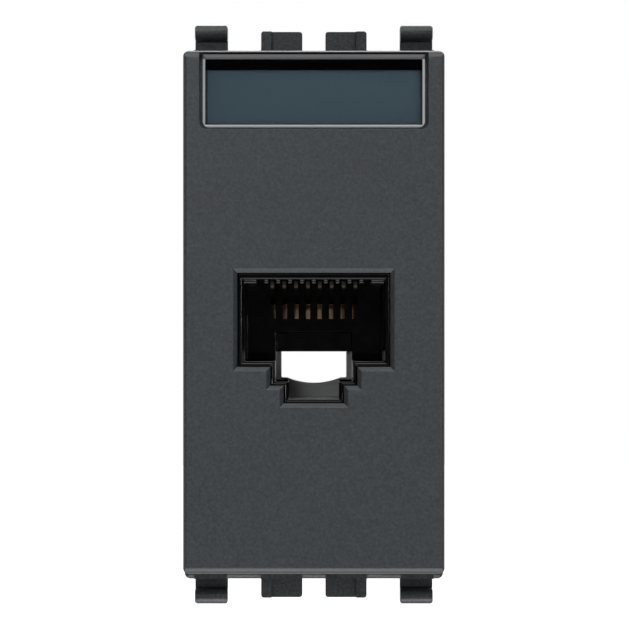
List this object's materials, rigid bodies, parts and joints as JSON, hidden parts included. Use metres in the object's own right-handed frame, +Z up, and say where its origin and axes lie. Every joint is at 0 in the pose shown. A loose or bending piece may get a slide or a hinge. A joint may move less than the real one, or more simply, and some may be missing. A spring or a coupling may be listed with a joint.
{
  "type": "ethernet wall socket module",
  "caption": "One-module wall insert with an 8-way plug opening, a label window above it and sprung tabs for its support frame.",
  "frame": {"origin": "middle of the body, on the plane where its lugs seat on the support frame", "axes": "+Z up along the face's height, +X to the right seen from the front, -Y out of the face towards the user"},
  "size_m": [0.0224, 0.0283, 0.0504],
  "materials": {
    "cover_plastic": "anthracite, fine satin grain",
    "frame_plastic": "anthracite, satin",
    "rear_plastic": "mid grey, satin",
    "jack_plastic": "black, glossy",
    "lens_clear": "clear moulded polycarbonate",
    "card": "blank dark blue-grey card",
    "contact_gold": "gold-plated spring wire",
    "board": "green solder mask",
    "block_plastic": "ivory moulded plastic",
    "blade_metal": "tin-plated bronze",
    "cap_plastic": "grey, satin"
  },
  "bodies": {
    "module": {"front_cover": "cover_plastic", "label_card": "card", "body_frame": "frame_plastic", "rear_cover": "rear_plastic", "jack_housing": "jack_plastic", "contact_carrier": "jack_plastic", "contact_1": "contact_gold", "contact_2": "contact_gold", "contact_3": "contact_gold", "contact_4": "contact_gold", "contact_5": "contact_gold", "contact_6": "contact_gold", "contact_7": "contact_gold", "contact_8": "contact_gold", "pcb": "board", "idc_block": "block_plastic", "idc_blade_1": "blade_metal", "idc_blade_2": "blade_metal", "idc_blade_3": "blade_metal", "idc_blade_4": "blade_metal", "idc_blade_5": "blade_metal", "idc_blade_6": "blade_metal", "idc_blade_7": "blade_metal", "idc_blade_8": "blade_metal"},
    "window": {"label_window": "lens_clear"},
    "left_cap": {"left_wire_cap": "cap_plastic"},
    "right_cap": {"right_wire_cap": "cap_plastic"}
  },
  "joints": [
    {"name": "window_pull", "type": "slide", "parent": "module", "child": "window", "axis": [0, -1, 0], "range_m": [0, 0.006]},
    {"name": "left_cap_pull", "type": "slide", "parent": "module", "child": "left_cap", "axis": [0, 1, 0], "range_m": [0, 0.008]},
    {"name": "right_cap_pull", "type": "slide", "parent": "module", "child": "right_cap", "axis": [0, 1, 0], "range_m": [0, 0.008]}
  ]
}
